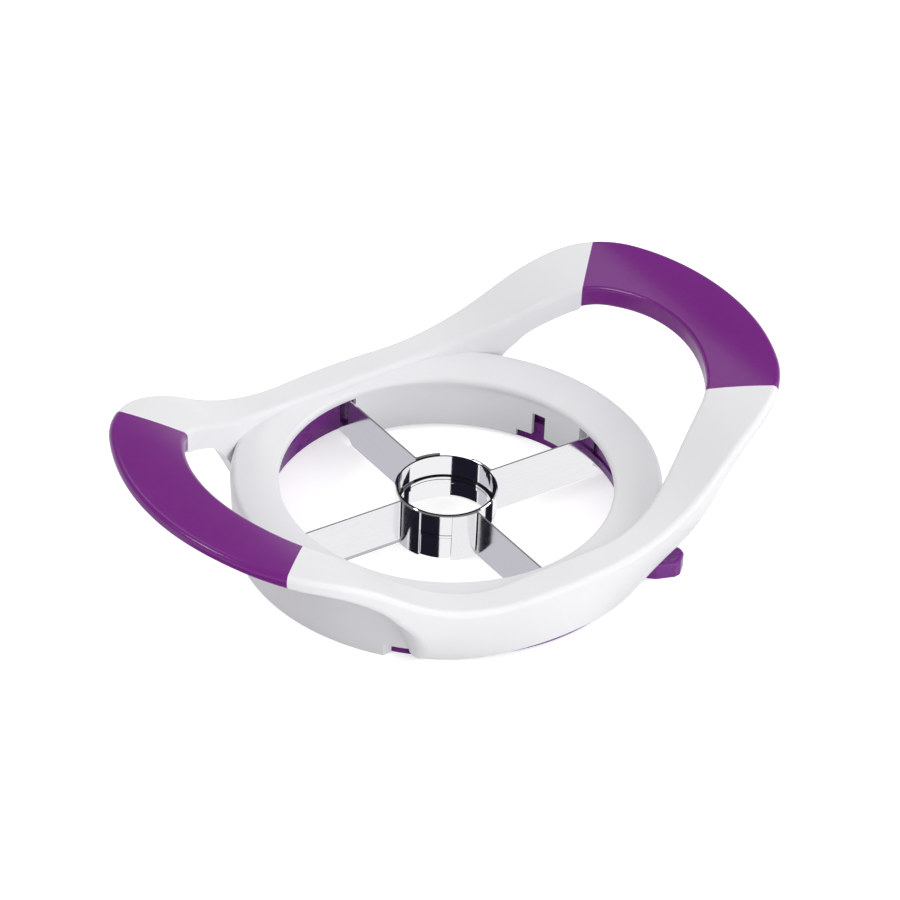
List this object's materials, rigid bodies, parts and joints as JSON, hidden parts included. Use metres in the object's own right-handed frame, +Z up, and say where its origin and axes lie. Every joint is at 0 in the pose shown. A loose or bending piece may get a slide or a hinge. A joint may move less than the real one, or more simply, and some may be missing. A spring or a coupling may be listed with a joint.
{
  "type": "apple slicer wedger press",
  "caption": "Hand-held apple corer and wedger with a ring frame, raised loop handles with soft grips, a fixed and a turning pair of blades, and a ring with a thumb lever.",
  "frame": {"origin": "centre of the footprint, on the plane that the slicer stands on, below the middle of the core ring", "axes": "+X along the two handles, +Z up, +Y away from the side with the thumb lever"},
  "size_m": [0.1958, 0.1228, 0.0474],
  "materials": {
    "frame_white": "satin",
    "grip_purple": "matte",
    "rotor_purple": "satin",
    "blade_steel": "brushed",
    "core_steel": "polished"
  },
  "bodies": {
    "frame": {"frame_shell": "frame_white", "blade_carrier": "frame_white", "grip_left": "grip_purple", "grip_right": "grip_purple", "fixed_blade_left": "blade_steel", "fixed_blade_right": "blade_steel", "core_ring_upper": "core_steel"},
    "rotor": {"rotor_ring": "rotor_purple", "turning_blade_back": "blade_steel", "turning_blade_front": "blade_steel", "core_ring_lower": "core_steel"}
  },
  "joints": [
    {"name": "rotor_turn", "type": "hinge", "parent": "frame", "child": "rotor", "pos_m": [0, 0, 0.0085], "axis": [0, 0, 1], "range_deg": [0, 82]}
  ]
}
